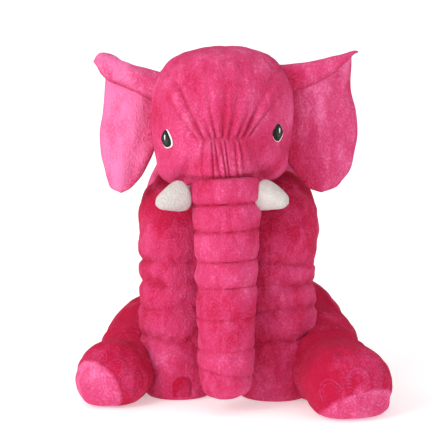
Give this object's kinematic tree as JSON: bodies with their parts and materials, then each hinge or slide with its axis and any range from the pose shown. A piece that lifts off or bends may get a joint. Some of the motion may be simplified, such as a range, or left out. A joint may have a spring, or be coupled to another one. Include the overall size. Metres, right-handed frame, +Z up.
{
  "type": "stuffed elephant",
  "caption": "Sitting plush elephant with a curling trunk, flapping ears, cloth tusks, gathered forehead and soft legs that swing at hips and shoulders.",
  "frame": {"origin": "on the floor, in the middle of the space that the elephant takes up", "axes": "+Z up, the face looks along -Y, the elephant's own left is +X"},
  "size_m": [0.5024, 0.5104, 0.6],
  "materials": {
    "pink_plush": "short-pile velvet plush, strong sheen",
    "nail_plush": "short-pile plush with satin-stitched outline",
    "tusk_cloth": "off-white short plush",
    "stuffing_fibre": "loose polyester fibre",
    "eye_thread": "glossy embroidery thread",
    "gather_elastic": "woven elastic tape"
  },
  "bodies": {
    "torso": {"torso_cover_left": "pink_plush", "torso_cover_right": "pink_plush", "torso_filling": "stuffing_fibre"},
    "neck": {"neck_filling": "stuffing_fibre"},
    "head": {"head_forehead_panel": "pink_plush", "head_cheek_panel_left": "pink_plush", "head_cheek_panel_right": "pink_plush", "head_filling": "stuffing_fibre", "forehead_gather_elastic": "gather_elastic", "eye_embroidery_left": "eye_thread", "eye_embroidery_right": "eye_thread", "tusk_cover_left": "tusk_cloth", "tusk_cover_right": "tusk_cloth", "tusk_filling_left": "stuffing_fibre", "tusk_filling_right": "stuffing_fibre"},
    "ear_left": {"ear_front_left": "pink_plush", "ear_batting_left": "stuffing_fibre", "ear_back_left": "pink_plush"},
    "ear_right": {"ear_front_right": "pink_plush", "ear_batting_right": "stuffing_fibre", "ear_back_right": "pink_plush"},
    "trunk_1": {"trunk_cover_1": "pink_plush", "trunk_filling_1": "stuffing_fibre"},
    "trunk_2": {"trunk_cover_2": "pink_plush", "trunk_filling_2": "stuffing_fibre"},
    "trunk_3": {"trunk_cover_3": "pink_plush", "trunk_filling_3": "stuffing_fibre"},
    "trunk_4": {"trunk_cover_4": "pink_plush", "trunk_filling_4": "stuffing_fibre"},
    "trunk_5": {"trunk_cover_5": "pink_plush", "trunk_filling_5": "stuffing_fibre"},
    "trunk_6": {"trunk_cover_6": "pink_plush", "trunk_filling_6": "stuffing_fibre"},
    "trunk_7": {"trunk_cover_7": "pink_plush", "trunk_filling_7": "stuffing_fibre"},
    "foreleg_left": {"foreleg_cover_left": "pink_plush", "foreleg_filling_left": "stuffing_fibre", "foreleg_sole_left": "pink_plush", "foreleg_nail_left_1": "nail_plush", "foreleg_nail_left_2": "nail_plush"},
    "hind_leg_left": {"hind_leg_cover_left": "pink_plush", "hind_leg_filling_left": "stuffing_fibre", "hind_sole_left": "pink_plush", "hind_nail_left_1": "nail_plush", "hind_nail_left_2": "nail_plush", "hind_nail_left_3": "nail_plush"},
    "foreleg_right": {"foreleg_cover_right": "pink_plush", "foreleg_filling_right": "stuffing_fibre", "foreleg_sole_right": "pink_plush", "foreleg_nail_right_1": "nail_plush", "foreleg_nail_right_2": "nail_plush"},
    "hind_leg_right": {"hind_leg_cover_right": "pink_plush", "hind_leg_filling_right": "stuffing_fibre", "hind_sole_right": "pink_plush", "hind_nail_right_1": "nail_plush", "hind_nail_right_2": "nail_plush", "hind_nail_right_3": "nail_plush"},
    "tail": {"tail": "pink_plush", "tail_tuft": "pink_plush"}
  },
  "joints": [
    {"name": "head_turn", "type": "hinge", "parent": "torso", "child": "neck", "pos_m": [-0.00161, 0.00982, 0.392], "axis": [0, 0, 1], "range_deg": [-8, 8], "stiffness_Nm_per_rad": 0.3},
    {"name": "head_nod", "type": "hinge", "parent": "neck", "child": "head", "pos_m": [-0.00161, 0.00982, 0.392], "axis": [-1, 0, 0], "range_deg": [0, 12]},
    {"name": "ear_flap_left", "type": "hinge", "parent": "head", "child": "ear_left", "pos_m": [0.11539, -0.07818, 0.47], "axis": [0, 0, -1], "range_deg": [-15, 40], "stiffness_Nm_per_rad": 0.03},
    {"name": "ear_flap_right", "type": "hinge", "parent": "head", "child": "ear_right", "pos_m": [-0.12861, -0.07818, 0.47], "axis": [0, 0, 1], "range_deg": [-15, 40], "stiffness_Nm_per_rad": 0.03},
    {"name": "trunk_curl_1", "type": "hinge", "parent": "head", "child": "trunk_1", "pos_m": [0.00039, -0.24834, 0.383], "axis": [-1, 0, 0], "range_deg": [0, 12], "stiffness_Nm_per_rad": 0.01},
    {"name": "trunk_curl_2", "type": "hinge", "parent": "trunk_1", "child": "trunk_2", "pos_m": [0.00039, -0.24834, 0.342], "axis": [-1, 0, 0], "range_deg": [0, 12], "stiffness_Nm_per_rad": 0.01},
    {"name": "trunk_curl_3", "type": "hinge", "parent": "trunk_2", "child": "trunk_3", "pos_m": [0.00039, -0.24746, 0.298], "axis": [-1, 0, 0], "range_deg": [0, 12], "stiffness_Nm_per_rad": 0.01},
    {"name": "trunk_curl_4", "type": "hinge", "parent": "trunk_3", "child": "trunk_4", "pos_m": [0.00039, -0.24482, 0.25], "axis": [-1, 0, 0], "range_deg": [0, 12], "stiffness_Nm_per_rad": 0.01},
    {"name": "trunk_curl_5", "type": "hinge", "parent": "trunk_4", "child": "trunk_5", "pos_m": [0.00039, -0.24394, 0.208], "axis": [-1, 0, 0], "range_deg": [0, 12], "stiffness_Nm_per_rad": 0.01},
    {"name": "trunk_curl_6", "type": "hinge", "parent": "trunk_5", "child": "trunk_6", "pos_m": [0.00039, -0.24218, 0.157], "axis": [-1, 0, 0], "range_deg": [0, 12], "stiffness_Nm_per_rad": 0.01},
    {"name": "trunk_curl_7", "type": "hinge", "parent": "trunk_6", "child": "trunk_7", "pos_m": [0.00039, -0.2413, 0.105], "axis": [-1, 0, 0], "range_deg": [0, 12], "stiffness_Nm_per_rad": 0.01},
    {"name": "foreleg_swing_left", "type": "hinge", "parent": "torso", "child": "foreleg_left", "pos_m": [0.07639, -0.08018, 0.3], "axis": [1, 0, 0], "range_deg": [-3, 5], "stiffness_Nm_per_rad": 0.5},
    {"name": "foreleg_swing_right", "type": "hinge", "parent": "torso", "child": "foreleg_right", "pos_m": [-0.07961, -0.05618, 0.3], "axis": [1, 0, 0], "range_deg": [-3, 5], "stiffness_Nm_per_rad": 0.5},
    {"name": "hip_swing_left", "type": "hinge", "parent": "torso", "child": "hind_leg_left", "pos_m": [0.14539, 0.04682, 0.08239], "axis": [-0.7669, -0.1469, 0.6247], "range_deg": [0, 30]},
    {"name": "hip_swing_right", "type": "hinge", "parent": "torso", "child": "hind_leg_right", "pos_m": [-0.13661, 0.09682, 0.08239], "axis": [-0.759, 0.1837, -0.6247], "range_deg": [0, 30]},
    {"name": "tail_swing", "type": "hinge", "parent": "torso", "child": "tail", "pos_m": [0.04439, 0.22782, 0.15], "axis": [0, 1, 0], "range_deg": [-30, 30]}
  ],
  "couplings": [
    {"joint": "trunk_curl_2", "follows": "trunk_curl_1", "ratio": 1},
    {"joint": "trunk_curl_3", "follows": "trunk_curl_1", "ratio": 1},
    {"joint": "trunk_curl_4", "follows": "trunk_curl_1", "ratio": 1},
    {"joint": "trunk_curl_5", "follows": "trunk_curl_1", "ratio": 1},
    {"joint": "trunk_curl_6", "follows": "trunk_curl_1", "ratio": 1},
    {"joint": "trunk_curl_7", "follows": "trunk_curl_1", "ratio": 1}
  ]
}
